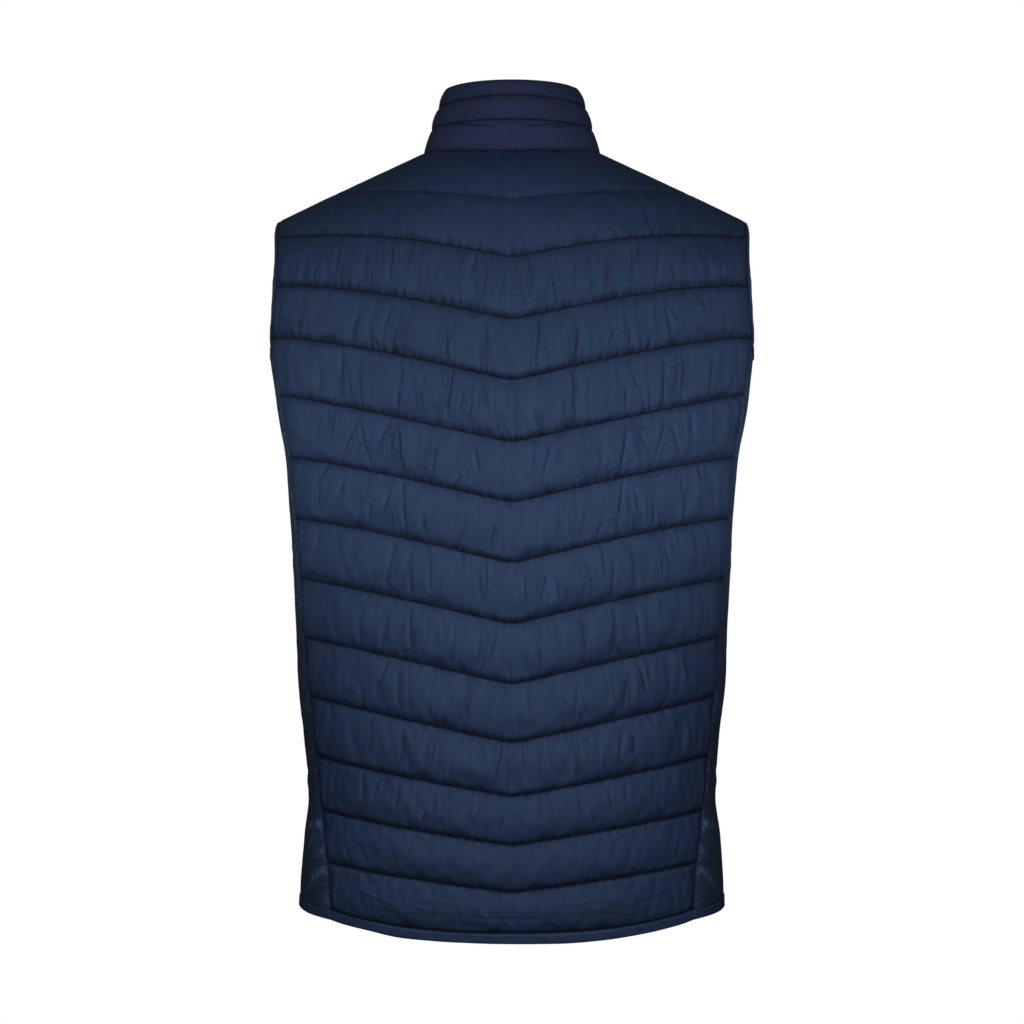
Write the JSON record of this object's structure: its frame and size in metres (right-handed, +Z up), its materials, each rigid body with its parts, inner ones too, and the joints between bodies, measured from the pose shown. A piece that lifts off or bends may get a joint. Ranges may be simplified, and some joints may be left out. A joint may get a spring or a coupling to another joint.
{
  "type": "padded vest",
  "caption": "Sleeveless padded vest with chevron-quilted back, plain side panels, quilted fronts, stand collar and a front zip with a swinging pull tab, in its worn hollow form.",
  "frame": {"origin": "on the centre plane, level with the middle of the wearer's shoulders that carry the vest", "axes": "+Z up, wearer faces -Y so the back faces +Y, wearer's left side is +X"},
  "size_m": [0.4542, 0.2598, 0.7818],
  "materials": {
    "shell_cloth": "satin navy nylon, quilted over light padding",
    "side_cloth": "plain satin navy nylon",
    "trim_cloth": "folded navy binding, slightly stretchy",
    "zip_tape": "woven navy tape",
    "zip_plastic": "dark navy moulded plastic"
  },
  "bodies": {
    "vest": {"back": "shell_cloth", "front_left": "shell_cloth", "front_right": "shell_cloth", "collar": "shell_cloth", "side_left": "side_cloth", "side_right": "side_cloth", "armhole_binding_left": "trim_cloth", "armhole_binding_right": "trim_cloth", "hem_back": "trim_cloth", "hem_side_left": "trim_cloth", "hem_side_right": "trim_cloth", "hem_front_left": "trim_cloth", "hem_front_right": "trim_cloth", "zip_tape_left": "zip_tape", "zip_tape_right": "zip_tape", "zip_chain": "zip_plastic", "zip_slider": "zip_plastic"},
    "pull": {"zip_pull": "zip_plastic"}
  },
  "joints": [
    {"name": "zip_pull_swing", "type": "hinge", "parent": "vest", "child": "pull", "pos_m": [0, -0.09507, 0.02671], "axis": [-1, 0, 0], "range_deg": [0, 150]}
  ]
}
